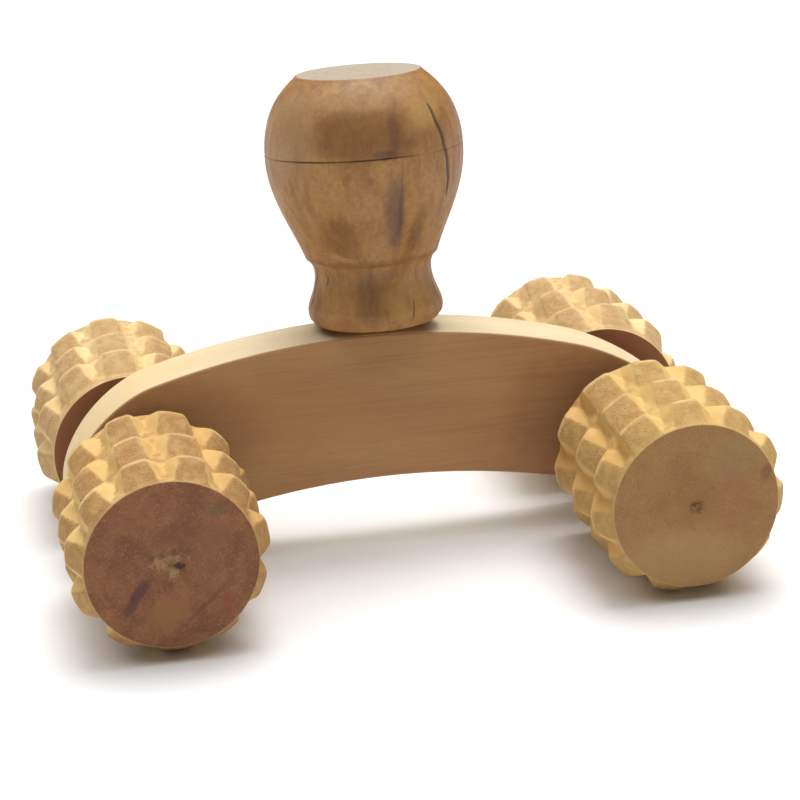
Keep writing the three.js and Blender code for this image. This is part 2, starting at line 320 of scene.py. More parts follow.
def make_roller(name, stud_angle, seed, chipped, rings_off, inner_radius):
    """A studded roller along Y with its outer face at y = 0 and its bore in the inner end."""
    angles = np.linspace(0, math.tau, ROLLER_COLUMNS, endpoint=False)
    y = np.arange(RIM_ROUND, ROLLER_LENGTH - RIM_ROUND + ROLLER_ROW / 2, ROLLER_ROW)
    side, edge, cone = roller_side(y, angles, stud_angle, seed, rings_off, inner_radius)
    bend = np.linspace(0, math.pi / 2, RIM_STEPS, endpoint=False)
    rim_radii = FACE_RADIUS - RIM_ROUND * (1 - np.sin(bend))
    rim_y = RIM_ROUND * (1 - np.cos(bend))
    inner_radii, inner_depths = np.array(INNER_FACE, float).T
    bore_end = ROLLER_LENGTH - BORE_DEPTH
    rings = [
        roller_face(angles, seed, chipped),
        around(rim_radii, rim_y, angles),
        around(side, y, angles),
        around(rim_radii[::-1] - FACE_RADIUS + inner_radius, ROLLER_LENGTH - rim_y[::-1], angles),
        around(inner_radii, ROLLER_LENGTH - inner_depths, angles),
        around([BORE_RADIUS], [bore_end], angles),
    ]
    blank = [np.zeros(part.shape[:2]) for part in rings]
    fade = np.linspace(1, 0, len(rim_y))[:, None]
    # Per point: its share of the painted highlight on the crests and the rim, whether it is torn, and
    # whether it is face
    attributes = {
        key: np.concatenate([blank[0] + on_face, blank[1] + on_rim, blank[2] + on_side, *blank[3:]])
        for key, on_face, on_rim, on_side in (
            ("edge", 0, RIM_HIGHLIGHT * (1 - fade), edge), ("cone", 1, 1, cone), ("face", 1, fade, 0))
    }
    return closed_skin(name, np.concatenate(rings), (0, MARK_DEPTH, 0), (0, bore_end, 0), attributes)


def make_rod(name, start, end):
    """A dowel rod along Y with chamfered ends."""
    angles = np.linspace(0, math.tau, ROD_COLUMNS, endpoint=False)
    body = np.linspace(start + ROD_CHAMFER, end - ROD_CHAMFER, ROD_ROWS)
    along = np.concatenate([[start], body, [end]])
    radius = np.full(len(along), ROD_RADIUS - ROD_PLAY)
    radius[[0, -1]] -= ROD_CHAMFER
    rings = around(radius, along, angles)
    return closed_skin(name, rings, (0, start, 0), (0, end, 0))


def knob_outline():
    """Radii and heights of the knob's side, with finer rows at the scribed line."""
    outline = np.vstack([bezier(curve, CURVE_STEPS) for curve in KNOB_CURVES])
    radius, height = resampled(outline, KNOB_ROW)
    kept = np.abs(height - LINE_HEIGHT) > LINE_REACH
    line = np.linspace(LINE_HEIGHT - LINE_REACH, LINE_HEIGHT + LINE_REACH, LINE_ROWS)
    order = np.argsort(np.concatenate([height[kept], line]), kind="stable")
    radius = np.concatenate([radius[kept], np.interp(line, height, radius)])[order]
    height = np.concatenate([height[kept], line])[order]
    return radius, height


def make_knob(name):
    """The turned knob, standing along Z on its seat, with the dowel's bore in it."""
    radius, height = knob_outline()
    angles = np.linspace(-math.pi, math.pi, KNOB_COLUMNS, endpoint=False)
    side = np.broadcast_to(radius[:, None], (len(height), len(angles)))
    wall = upright(side, height, angles)
    line = np.clip(1 - np.abs(height - LINE_HEIGHT) / LINE_HALF_WIDTH, 0, 1)[:, None]
    strength = np.interp(np.degrees(angles), LINE_BEARINGS, LINE_STRENGTHS)
    kept = LINE_KEPT + LINE_UNEVEN * bumps(wall, size=7.0, seed=45)
    worn = np.clip(kept, LINE_FAINTEST, 1) * strength
    checks = knob_checks(angles, height, radius)
    side = side - LINE_DEPTH * line * worn
    side = side - KNOB_WEAR * (1 + bumps(wall, size=9.0, seed=41))
    side = side - KNOB_GRAIN * (1 + bumps(wall, size=1.6, seed=42)) - checks
    cap_radii = np.arange(CAP_RADIUS - 2 * CAP_ROW, CAP_INNERMOST, -CAP_ROW)
    cap = turned([(cap_radius, KNOB_TOP) for cap_radius in cap_radii], angles)
    cap[..., 2] -= CAP_WEAR * (1 + bumps(cap, size=2.5, seed=47))
    rings = [turned(KNOB_BORE, angles), upright(side, height, angles), turned(CAP_EDGE, angles), cap]
    blank = [np.zeros(part.shape[:2]) for part in rings]
    attributes = {
        key: np.concatenate([blank[0], on_side, *blank[2:]])
        for key, on_side in (
            ("check", np.clip(checks / CHECK_DARK_DEPTH, 0, 1)), ("scribed", worn * line))
    }
    top = (0, 0, KNOB_TOP - CAP_WEAR)
    return closed_skin(name, np.concatenate(rings), (0, 0, DOWEL_IN_KNOB), top, attributes)


def upright(radius, heights, angles):
    """Points at each radius and height along Z, all the way round."""
    z = np.broadcast_to(np.reshape(heights, (-1, 1)), radius.shape)
    return np.stack([radius * np.cos(angles), radius * np.sin(angles), z], axis=-1)


def turned(profile, angles):
    """Points all the way round along Z, for each radius and height of a profile."""
    profile = np.array(profile, float)
    return upright(np.tile(profile[:, :1], len(angles)), profile[:, 1], angles)


def knob_checks(angles, height, radius):
    """Depth of the drying cracks and tool marks in the knob, each tapering to its ends."""
    depth = np.zeros((len(height), len(angles)))
    for path, half_width, deepest in KNOB_CHECKS:
        bearings, heights = np.array(path[::-1], float).T
        middle = np.radians(np.interp(height, heights, bearings))
        middle = middle + CHECK_WANDER * np.sin(height * CHECK_WAVE)
        share = np.clip((height - heights[0]) / (heights[-1] - heights[0]), 0, 1)
        width = half_width * np.sqrt(np.maximum(4 * share * (1 - share), 1e-6))
        off = (angles[None, :] - middle[:, None] + math.pi) % math.tau - math.pi
        across = np.abs(off) * radius[:, None]
        inside = np.clip(1 - across / width[:, None], 0, 1) * (share * (1 - share) > 0)[:, None]
        depth = np.maximum(depth, deepest * inside)
    return depth


def resampled(outline, step):
    """The two coordinates of an outline at even steps along it."""
    lengths = np.concatenate([[0], np.cumsum(np.hypot(*np.diff(outline, axis=0).T))])
    places = np.linspace(0, lengths[-1], int(lengths[-1] / step))
    return np.interp(places, lengths, outline[:, 0]), np.interp(places, lengths, outline[:, 1])


def arc_end(arc, side):
    """Where an arc ends on one side, and the handle with which the end's curve leaves it."""
    angle = math.asin(arc["reach"] / arc["radius"])
    x = arc["middle"] + side * arc["reach"]
    height = arc["rise"] - arc["radius"] * (1 - math.cos(angle))
    handle = (x + side * arc["handle"] * math.cos(angle), height - arc["handle"] * math.sin(angle))
    return (x, height), handle


def arc_points(arc, start, end, count):
    """Points along an arc from one share of its reach to another, without the last one."""
    x = arc["middle"] + np.linspace(start, end, count, endpoint=False) * arc["reach"]
    height = arc["rise"] - arc["radius"] + np.sqrt(arc["radius"] ** 2 - (x - arc["middle"]) ** 2)
    return np.stack([x, height], axis=1)


def beam_outline():
    """The beam's outline in its side view, counterclockwise, from the left end of its underside."""
    upper, lower = TIP["rise"] + TIP["upper"], TIP["rise"] - TIP["lower"]
    curves = {}
    for side in (-1, 1):
        x = side * TIP["reach"]
        top_end, top_handle = arc_end(TOP_ARC, side)
        under_end, under_handle = arc_end(UNDER_ARC, side)
        curves[side] = [
            (under_end, under_handle, (x, lower), (x, TIP["rise"])),
            ((x, TIP["rise"]), (x, upper), top_handle, top_end),
        ]
    return np.vstack([
        arc_points(UNDER_ARC, -1, 1, UNDER_STEPS),
        *[bezier(curve, CURVE_STEPS) for curve in curves[1]],
        arc_points(TOP_ARC, 1, -1, TOP_STEPS),
        *[bezier(curve[::-1], CURVE_STEPS) for curve in curves[-1][::-1]],
    ])


def make_beam(name, axle_height):
    """The sawn beam with worn edges, before it is drilled."""
    outline = beam_outline()
    ahead = np.roll(outline, -1, axis=0) - np.roll(outline, 1, axis=0)
    inward = np.stack([-ahead[:, 1], ahead[:, 0]], axis=1) / np.hypot(*ahead.T)[:, None]
    half = BEAM_THICKNESS / 2
    bend = np.linspace(0, math.pi / 2, BEAM_EDGE_STEPS)
    insets = BEAM_EDGE_ROUND * (1 - np.sin(bend))
    depths = half - BEAM_EDGE_ROUND * (1 - np.cos(bend))
    sides = list(zip(insets, -depths)) + list(zip(insets[::-1], depths[::-1]))
    loops = []
    for inset, y in sides:
        flat = outline + inward * inset
        loops.append(np.stack([flat[:, 0], np.full(len(flat), y), flat[:, 1] + axle_height], axis=1))
    count = len(outline)
    points = np.concatenate(loops)
    faces = []
    for row in range(len(loops) - 1):
        a = row * count + np.arange(count)
        b = row * count + (np.arange(count) + 1) % count
        faces += np.stack([a, b, b + count, a + count], axis=1).tolist()
    faces.append(list(range(count)))
    faces.append(list(range(len(points) - count, len(points))))
    mesh = bpy.data.meshes.new(name)
    mesh.from_pydata((points * MM).tolist(), [], faces)
    return finish_mesh(name, mesh)


def drill(piece, radius, depth, start):
    """Bores a round hole into the piece, running down its own Z from a place in the object's frame."""
    work = bmesh.new()
    middle = start @ Matrix.Translation((0, 0, -depth / 2 * MM))
    bmesh.ops.create_cone(
        work, cap_ends=True, segments=ROD_COLUMNS, radius1=radius * MM, radius2=radius * MM,
        depth=depth * MM, matrix=middle)
    mesh = bpy.data.meshes.new("drill")
    work.to_mesh(mesh)
    work.free()
    bit = bpy.data.objects.new("drill", mesh)
    bpy.context.scene.collection.objects.link(bit)
    cut = piece.modifiers.new("bore", "BOOLEAN")
    cut.operation = "DIFFERENCE"
    cut.solver = "EXACT"
    cut.object = bit
    bored = bpy.data.meshes.new_from_object(piece.evaluated_get(bpy.context.evaluated_depsgraph_get()))
    piece.modifiers.clear()
    piece.data = bored
    bpy.data.objects.remove(bit)


# ---------------------------------------------------------------------------- materials


def colour_socket(sockets, name):
    """The colour socket of that name on a mix node, which has one of each type."""
    return next(s for s in sockets if s.name == name and s.type == "RGBA")


class Finish:
    """A material in the making. Each method adds a node and gives back its output."""

    def __init__(self, name):
        self.material = bpy.data.materials.new(name)
        self.material.use_nodes = True
        self.nodes = self.material.node_tree.nodes
        self.links = self.material.node_tree.links
        self.surface = self.nodes["Principled BSDF"]
        coordinates = self.nodes.new("ShaderNodeTexCoord")
        self.place = coordinates.outputs["Object"]
        self.normal = coordinates.outputs["Normal"]

    def plug(self, socket, value):
        if isinstance(value, bpy.types.NodeSocket):
            self.links.new(value, socket)
        else:
            socket.default_value = value

    def add(self, kind, inputs, output=0, **settings):
        node = self.nodes.new(kind)
        for key, value in settings.items():
            setattr(node, key, value)
        for key, value in inputs.items():
            self.plug(node.inputs[key], value)
        return node.outputs[output]

    def math(self, operation, a, b=0.0):
        return self.add("ShaderNodeMath", {0: a, 1: b}, operation=operation)

    def moved(self, scale=(1, 1, 1), location=(0, 0, 0), rotation=(0, 0, 0), kind="POINT"):
        inputs = {"Vector": self.place, "Location": location, "Rotation": rotation, "Scale": scale}
        return self.add("ShaderNodeMapping", inputs, vector_type=kind)

    def attribute(self, name):
        return self.add("ShaderNodeAttribute", {}, output="Fac", attribute_name=name)

    def noise(self, size, stretch=(1, 1, 1), detail=2.0, rough=0.5, twist=0.0, seed=0.0):
        """Noise with features of that size in millimetres, drawn out along each axis."""
        scale = tuple(1 / (size * drawn_out * MM) for drawn_out in stretch)
        vector = self.moved(scale=scale, location=tuple(seed * shift for shift in MATERIAL_SHIFT))
        inputs = {
            "Vector": vector, "Scale": 1.0, "Detail": detail, "Roughness": rough, "Distortion": twist,
        }
        return self.add("ShaderNodeTexNoise", inputs, noise_dimensions="3D")

    def remap(self, value, low, high, start=0.0, end=1.0):
        """The value eased from start, where it is low, to end, where it is high."""
        inputs = {"Value": value, "From Min": low, "From Max": high, "To Min": start, "To Max": end}
        return self.add("ShaderNodeMapRange", inputs, interpolation_type="SMOOTHSTEP")

    def mix(self, share, a, b):
        node = self.nodes.new("ShaderNodeMix")
        node.data_type = "RGBA"
        self.plug(node.inputs["Factor"], share)
        self.plug(colour_socket(node.inputs, "A"), a)
        self.plug(colour_socket(node.inputs, "B"), b)
        return colour_socket(node.outputs, "Result")

    def bump(self, height, distance, normal=None):
        """Relief of that many millimetres for a height from 0 to 1."""
        inputs = {"Height": height, "Distance": distance * MM, "Strength": 1.0}
        if normal is not None:
            inputs["Normal"] = normal
        return self.add("ShaderNodeBump", inputs)

    def patch(self, centre, radii, turn=(0, 0, 0), soft=0.4, ragged=0.3, grain=3.0, seed=0.0):
        """1 inside an ellipsoid about a place in millimetres, fading to 0 outside, with a ragged edge."""
        vector = self.moved(
            scale=tuple(r * MM for r in radii), location=tuple(c * MM for c in centre),
            rotation=turn, kind="TEXTURE")
        length = self.add("ShaderNodeVectorMath", {0: vector}, output="Value", operation="LENGTH")
        uneven = self.math("SUBTRACT", self.noise(grain, seed=seed), 0.5)
        wobble = self.math("MULTIPLY", uneven, 2 * ragged)
        return self.remap(self.math("ADD", length, wobble), 1 + soft, 1 - soft)

    def with_stains_and_painted_light(self, colour, stains_and_painted_light):
        """The colour with each patch of stain, painted shade and painted highlight laid over it: its share,
        its colour and the patch that it covers.
        """
        for share, stain, patch in stains_and_painted_light:
            colour = self.mix(self.math("MULTIPLY", self.patch(**patch), share), colour, stain)
        return colour

    def finish(self, colour, roughness, normal=None):
        self.plug(self.surface.inputs["Base Color"], colour)
        self.plug(self.surface.inputs["Roughness"], roughness)
        if normal is not None:
            self.plug(self.surface.inputs["Normal"], normal)
        return self.material


def roller_wood(name, seed, tones):
    """Raw turned wood with its grain along Y: smooth in the flutes, torn on the cut slopes and the ends,
    with a painted highlight along the crests and the rim and painted shade on one side.
    """
    f = Finish(name)
    facing = f.add("ShaderNodeSeparateXYZ", {0: f.normal}, output=1)
    # Where the crests and the rim get a painted highlight
    edge = f.attribute("edge")
    cone = f.attribute("cone")
    on_face = f.attribute("face")
    across = f.add("ShaderNodeSeparateXYZ", {0: f.place}, output=0)
    fibre = f.noise(0.24, (1, 14, 1), detail=3, seed=seed + 1)
    speck = f.noise(0.34, detail=3, rough=0.7, seed=seed + 2)
    broad = f.remap(f.noise(5, (1, 2, 1), seed=seed), 0.35, 0.65)
    patchy = f.noise(2.2, detail=3, rough=0.6, seed=seed + 5)

    # Painted shade on one side of the roller, darker and warmer as in the light thrown back off the brown
    # beam
    shaded_side = f.math("MULTIPLY", across, tones["shaded_side"])
    shaded_side = f.remap(shaded_side, SHADE_FROM * MM, SHADE_TO * MM)
    warmth_and_shade = f.math("ADD", f.math("MULTIPLY", broad, 0.55), f.math("MULTIPLY", shaded_side, 0.6))
    flute = f.mix(f.math("MINIMUM", warmth_and_shade, 1.0), tones["flute"], tones["flute_warm_and_shade"])
    flute = f.mix(f.remap(fibre, 0.42, 0.72, 0, 0.35), flute, tones["cone"])
    # the torn slopes get the same painted shade, as well as their random patches
    torn = f.math("ADD", f.remap(patchy, 0.35, 0.65, 0, 0.8), f.math("MULTIPLY", shaded_side, 0.4))
    torn = f.mix(f.math("MINIMUM", torn, 1.0), tones["cone"], tones["cone_dark_and_shade"])
    torn = f.mix(f.remap(speck, 0.5, 0.7, 0, 0.4), torn, tones["flute"])
    torn = f.mix(f.remap(speck, 0.46, 0.28, 0, 0.5), torn, tones["pit"])
    ragged = f.math("ADD", cone, f.math("MULTIPLY", f.math("SUBTRACT", patchy, 0.5), 1.4))
    colour = f.mix(f.remap(ragged, 0.1, 0.95), flute, torn)
    # The painted highlight along the crests and the rim, broken up in patches
    worn = f.math("MULTIPLY", edge, f.remap(patchy, 0.25, 0.55, 0.2, 1))
    colour = f.mix(f.remap(worn, 0.05, 0.9, 0, 0.65), colour, tones["edge"])

    cloud = f.noise(6, seed=seed + 3, twist=0.6)
    hole = f.noise(0.7, detail=2, rough=0.7, seed=seed + 7)
    face = f.mix(f.remap(cloud, 0.3, 0.7), tones["face"], tones["face_dark"])
    face = f.mix(f.remap(patchy, 0.5, 0.75, 0, 0.25), face, tones["face_light"])
    face = f.mix(f.remap(speck, 0.5, 0.68, 0, 0.8), face, tones["face_light"])
    face = f.mix(f.remap(speck, 0.48, 0.3, 0, 0.9), face, tones["face_dark"])
    face = f.mix(f.remap(hole, 0.6, 0.74, 0, 0.6), face, tones["pore"])
    face = f.with_stains_and_painted_light(face, tones["stains_and_painted_light"])
    colour = f.mix(f.remap(on_face, 0.2, 0.8), colour, face)
    colour = f.mix(f.remap(facing, 0.8, 0.95), colour, tones["inner_face"])

    relief = f.bump(fibre, 0.03)
    rough_share = f.remap(f.math("SUBTRACT", cone, f.math("MULTIPLY", on_face, 0.35)), 0, 1, 0.12, 1.0)
    relief = f.bump(f.math("MULTIPLY", speck, rough_share), 0.32, relief)
    roughness = f.remap(speck, 0.3, 0.7, 0.65, 0.88)
    return f.finish(colour, roughness, relief)


def planed_wood(name):
    """Sanded wood with its grain along X, darker on its two flat sides than round its sawn edge, with
    patches of painted shade on its front side.
    """
    f = Finish(name)
    facing = f.math("ABSOLUTE", f.add("ShaderNodeSeparateXYZ", {0: f.normal}, output=1))
    broad = f.remap(f.noise(9, (5, 1, 1), seed=3, twist=0.5), 0.3, 0.7)
    line = f.noise(0.7, (50, 1, 1), detail=4, seed=4)
    fibre = f.noise(0.2, (22, 1, 1), detail=3, seed=5)
    pore = f.noise(0.3, (3, 1, 1), detail=2, rough=0.6, seed=6)
    side = f.mix(broad, PLANED["side"], PLANED["side_dark"])
    side = f.mix(f.remap(line, 0.45, 0.75, 0, 0.35), side, PLANED["line"])
    side = f.mix(f.remap(fibre, 0.5, 0.75, 0, 0.22), side, PLANED["fibre"])
    side = f.mix(f.remap(pore, 0.58, 0.75, 0, 0.3), side, PLANED["fleck"])
    # patches of painted shade on the front side
    side = f.with_stains_and_painted_light(side, PLANED["side_shade"])
    edge = f.mix(broad, PLANED["edge"], PLANED["edge_dark"])
    edge = f.mix(f.remap(fibre, 0.5, 0.75, 0, 0.4), edge, PLANED["edge_fibre"])
    edge = f.mix(f.remap(pore, 0.55, 0.75, 0, 0.4), edge, PLANED["edge_pore"])
    edge = f.with_stains_and_painted_light(edge, PLANED["edge_tints"])
    colour = f.mix(f.remap(facing, 0.45, 0.8), edge, side)
    relief = f.bump(fibre, 0.02)
    return f.finish(colour, f.remap(fibre, 0.3, 0.7, 0.55, 0.75), relief)


def knob_wood(name):
    """Polished heartwood with its grain along Z, streaked and stain-marked, with a painted highlight on its
    left and its flat top painted pale grey as a reflection of the bright sky.
    """
    f = Finish(name)
    f.place = f.moved(rotation=(KNOB_LEAN_BACK, KNOB_LEAN_LEFT, 0))
    facing = f.add("ShaderNodeSeparateXYZ", {0: f.normal}, output=2)
    check = f.attribute("check")
    scribed = f.attribute("scribed")
    broad = f.remap(f.noise(6, (1, 1, 2), seed=8, twist=0.8), 0.3, 0.7)
    streak = f.noise(1.8, (1, 1, 7), detail=4, seed=9)
    fibre = f.noise(0.26, (1, 1, 16), detail=3, seed=10)
    pore = f.noise(0.32, (1, 1, 3), detail=2, rough=0.6, seed=11)
    mottle = f.noise(1.1, detail=3, rough=0.6, seed=13)
    sky_reflection_patches = f.noise(5, (2, 1, 1), seed=14)
    colour = f.mix(broad, POLISHED["wood"], POLISHED["wood_dark"])
    colour = f.mix(f.remap(mottle, 0.5, 0.7, 0, 0.35), colour, POLISHED["mottle_dark"])
    colour = f.mix(f.remap(mottle, 0.48, 0.3, 0, 0.35), colour, POLISHED["mottle_light"])
    colour = f.mix(f.remap(streak, 0.5, 0.75, 0, 0.35), colour, POLISHED["streak"])
    colour = f.mix(f.remap(fibre, 0.5, 0.75, 0, 0.25), colour, POLISHED["fibre_dark"])
    colour = f.mix(f.remap(fibre, 0.45, 0.25, 0, 0.25), colour, POLISHED["fibre_light"])
    colour = f.mix(f.remap(pore, 0.6, 0.8, 0, 0.35), colour, POLISHED["pore"])
    colour = f.with_stains_and_painted_light(colour, POLISHED["stains_and_painted_light"])
    # The flat top is painted pale grey, a painted reflection of the bright sky above
    cap = f.mix(f.remap(mottle, 0.35, 0.65, 0, 0.6), POLISHED["cap"], POLISHED["cap_reflection_dark"])
    cap = f.mix(f.remap(sky_reflection_patches, 0.4, 0.7, 0, 0.5), cap, POLISHED["cap_reflection_grey"])
    colour = f.mix(f.remap(facing, 0.93, 0.985), colour, cap)
    colour = f.mix(f.remap(scribed, 0.1, 0.9, 0, 0.8), colour, POLISHED["scribed"])
    colour = f.mix(f.remap(check, 0.0, 1.0, 0, 0.8), colour, POLISHED["check"])
    relief = f.bump(fibre, 0.02)
    relief = f.bump(pore, 0.02, relief)
    return f.finish(colour, f.remap(streak, 0.3, 0.7, 0.42, 0.58), relief)


def rod_wood(name):
    """Plain dowel wood with its grain along the rod."""
    f = Finish(name)
    fibre = f.noise(0.25, (1, 16, 1), detail=3, seed=12)
    colour = f.mix(f.remap(fibre, 0.35, 0.7), ROD_LIGHT, ROD_DARK)
    return f.finish(colour, f.remap(fibre, 0.3, 0.7, 0.6, 0.8), f.bump(fibre, 0.04))


# ---------------------------------------------------------------------------- colours and stains


def spot(x, y, z, radii, slant=0.0, **rest):
    """A patch about a place in millimetres. A slant turns its long side about Y, up to the right."""
    return {"centre": (x, y, z), "radii": radii, "turn": (0, math.radians(-slant), 0), **rest}


# The side of a roller that gets painted shade, darker and warmer as in the light thrown back off the brown
# beam,
# in its own frame: 1 towards +X and -1 towards -X. It starts and is full this far from the axle.
SHADE_FROM = 2.0
SHADE_TO = 19.0

RAW_LEFT = {
    "flute": paint(225, 191, 120),
    # the flutes' warmer tone, also used for their painted shade
    "flute_warm_and_shade": paint(200, 154, 84),
    # the side of the roller with painted shade
    "shaded_side": 1.0,
    "cone": paint(196, 151, 90),
    # the torn slopes' darker tone, also used for their painted shade
    "cone_dark_and_shade": paint(174, 127, 71),
    "pit": paint(134, 86, 44),
    # painted highlight on the crests and the rim
    "edge": paint(240, 212, 152),
    "face": paint(150, 98, 60),
    "face_light": paint(172, 120, 78),
    "face_dark": paint(124, 74, 45),
    "pore": paint(98, 52, 34),
    "inner_face": paint(146, 94, 57),
    "stains_and_painted_light": [
        (0.7, paint(156, 106, 60), spot(-1.5, 0, -9.8, (3.4, 3, 2.4), 10, seed=1)),
        (0.3, paint(122, 76, 46), spot(3.0, 0, 5.0, (8, 3, 4), seed=2)),
        (0.8, paint(84, 52, 52), spot(-6.6, 0, -4.9, (2.9, 3, 1.1), 50, grain=1.4, ragged=0.4, seed=3)),
        (0.6, paint(92, 58, 52), spot(-8.4, 0, -7.6, (2.0, 3, 1.0), 60, grain=1.4, ragged=0.4, seed=4)),
        (0.4, paint(92, 52, 36), spot(6.3, 0, -8.2, (6.4, 3, 0.45), 42, grain=1.5, seed=5)),
        (0.5, paint(150, 72, 46), spot(10.5, 0, -8.7, (1.3, 3, 1.9), grain=1.2, seed=6)),
        (0.5, paint(104, 92, 60), spot(8.9, 0, 10.2, (1.8, 3, 1.2), grain=0.8, ragged=0.9, seed=7)),
        (0.5, paint(188, 150, 104), spot(-0.8, 0, 0.8, (2.6, 3, 1.9), grain=0.9, ragged=1.5, seed=8)),
        (0.55, paint(196, 160, 112), spot(0.4, 0, -1.4, (1.6, 3, 0.9), 60, grain=0.7, ragged=1.3, seed=9)),
        (0.5, paint(92, 56, 36), spot(-1.2, 0, 2.4, (3.6, 3, 0.8), 8, grain=0.9, ragged=1.3, seed=17)),
        (0.85, paint(58, 40, 34), spot(1.4, 0, -0.3, (1.0, 3, 0.7), grain=0.6, ragged=0.7, seed=10)),
    ],
}
RAW_RIGHT = {
    **RAW_LEFT,
    "flute": paint(226, 192, 122),
    # the flutes' warmer tone, also used for their painted shade
    "flute_warm_and_shade": paint(206, 160, 86),
    # the side of the roller with painted shade
    "shaded_side": -1.0,
    "cone": paint(208, 169, 102),
    # the torn slopes' darker tone, also used for their painted shade
    "cone_dark_and_shade": paint(190, 147, 82),
    "pit": paint(142, 96, 46),
    "face": paint(170, 126, 74),
    "face_light": paint(182, 142, 90),
    "face_dark": paint(156, 110, 64),
    "pore": paint(128, 84, 50),
    "stains_and_painted_light": [
        (0.35, paint(162, 106, 70), spot(7, 0, 0, (5.5, 3, 7), seed=11)),
        (0.4, paint(158, 132, 90), spot(7.5, 0, 9.5, (5, 3, 4.5), seed=12)),
        (0.3, paint(150, 104, 60), spot(-3, 0, 3, (6, 3, 7), 40, seed=13)),
        (0.45, paint(120, 68, 48), spot(14.3, 0, 5.8, (1.0, 3, 1.9), -15, grain=1.2, seed=14)),
        # a paler patch low on the face: painted light thrown up from the floor
        (0.45, paint(196, 156, 102), spot(-3, 0, -11, (13, 3, 6), seed=18)),
        (0.4, paint(126, 88, 58), spot(0, 0, 0, (1.6, 3, 1.4), grain=0.8, ragged=0.6, seed=15)),
        (0.5, paint(186, 152, 104), spot(-0.2, 0, -0.3, (0.6, 3, 0.5), grain=0.5, seed=16)),
    ],
}
RAW_REAR = {
    **RAW_LEFT,
    "flute": paint(236, 208, 150),
    # the flutes' warmer tone, also used for their painted shade
    "flute_warm_and_shade": paint(218, 182, 124),
    "cone": paint(212, 176, 120),
    # the torn slopes' darker tone, also used for their painted shade
    "cone_dark_and_shade": paint(196, 154, 98),
    "pit": paint(172, 128, 78),
    "stains_and_painted_light": [
        (0.35, paint(166, 114, 68), spot(5, 0, 4, (7, 3, 9), seed=51)),
        (0.4, paint(116, 70, 44), spot(-7, 0, -3, (5, 3, 8), 20, seed=52)),
        (0.45, paint(104, 66, 42), spot(0, 0, 0, (1.7, 3, 1.5), grain=0.8, ragged=0.7, seed=53)),
    ],
}

ROD_LIGHT = paint(214, 174, 120)
ROD_DARK = paint(180, 134, 84)

# Patches of painted shade on the beam's front side
BEAM_SIDE_SHADE = [
    (0.3, paint(166, 112, 80), spot(30, -7, 12, (16, 3, 10), seed=21)),
    (0.3, paint(176, 124, 72), spot(-20, -7, 30, (22, 3, 9), seed=22)),
    (0.4, paint(134, 84, 54), spot(40, -7, 22, (13, 3, 16), seed=23)),
    (0.4, paint(146, 98, 62), spot(-42, -7, 28, (14, 3, 12), seed=24)),
]

# Yellower and darker towards both ends of the beam, round its edge
BEAM_END_TINTS = [
    (0.6, paint(224, 194, 138), spot(-52, 0, 30, (24, 12, 20), seed=25)),
    (0.35, paint(226, 200, 150), spot(56, 0, 26, (22, 12, 20), seed=26)),
]

PLANED = {
    "side": paint(188, 142, 92),
    "side_dark": paint(178, 131, 84),
    "line": paint(160, 112, 70),
    "fibre": paint(146, 98, 60),
    "fleck": paint(206, 164, 116),
    "side_shade": BEAM_SIDE_SHADE,
    "edge": paint(231, 212, 176),
    "edge_dark": paint(222, 201, 160),
    "edge_fibre": paint(206, 178, 136),
    "edge_pore": paint(198, 168, 124),
    "edge_tints": BEAM_END_TINTS,
}

# Stains on the knob, and one painted highlight
KNOB_STAINS_AND_HIGHLIGHT = [
    (0.55, paint(118, 74, 38), spot(-3, -19, 41.5, (12, 7, 5.2), soft=0.3, grain=4, seed=31)),
    # a paler patch on the left of the bulb: a painted highlight
    (0.4, paint(176, 142, 108), spot(-16, -8, 42, (6, 9, 9), 10, grain=3, seed=32)),
    (0.45, paint(104, 62, 32), spot(-8.5, -13, 21.5, (3, 5, 5), 10, grain=2, seed=33)),
    (0.65, paint(84, 56, 52), spot(2.2, -17.6, 25.2, (2.0, 5, 8.0), 0, soft=0.5, grain=2, seed=34)),
    (0.45, paint(74, 46, 40), spot(3.4, -17.6, 25.6, (0.5, 5, 7.4), -3, soft=0.5, grain=2, seed=44)),
    (0.5, paint(92, 58, 36), spot(6.9, -15.2, 20.8, (1.3, 5, 4.8), -16, soft=0.5, grain=2, seed=35)),
    (0.55, paint(74, 48, 36), spot(0.8, -20.4, 37.4, (2.4, 5, 0.9), grain=1.4, ragged=0.6, seed=36)),
    (0.45, paint(92, 58, 40), spot(2.9, -20, 42.0, (1.2, 5, 4.0), soft=0.6, grain=1.6, seed=37)),
    (0.45, paint(92, 58, 34), spot(-3.2, -12.4, 7.2, (3.0, 5, 4.6), 5, soft=0.6, grain=2, seed=38)),
    (0.5, paint(172, 124, 68), spot(1.6, -13, 5.4, (1.4, 5, 3.6), 30, grain=2, seed=39)),
    (0.35, paint(190, 150, 100), spot(-8.2, -12, 16.0, (3.6, 5, 0.5), -20, grain=0.7, ragged=1.2, seed=40)),
    (0.35, paint(84, 50, 30), spot(0, 0, 14.5, (22, 22, 0.9), grain=1.2, ragged=0.9, seed=45)),
    (0.4, paint(142, 68, 44), spot(-2.6, -18.6, 32.4, (0.9, 5, 0.9), grain=1.0, seed=42)),
    (0.45, paint(190, 152, 96), spot(9, -14, 44, (5, 7, 3), 30, grain=3, seed=43)),
    (0.12, paint(206, 172, 108), spot(-5, -15, 48.6, (14, 8, 2.6), grain=3, seed=46)),
    (0.2, paint(104, 64, 34), spot(-2, -12.5, 11, (4, 5, 3.4), grain=2, seed=47)),
    (0.25, paint(190, 146, 92), spot(7, -11, 5, (5, 5, 6), grain=2, seed=48)),
    (0.2, paint(186, 142, 90), spot(-9, -9, 4, (4, 5, 5), grain=2, seed=49)),
]

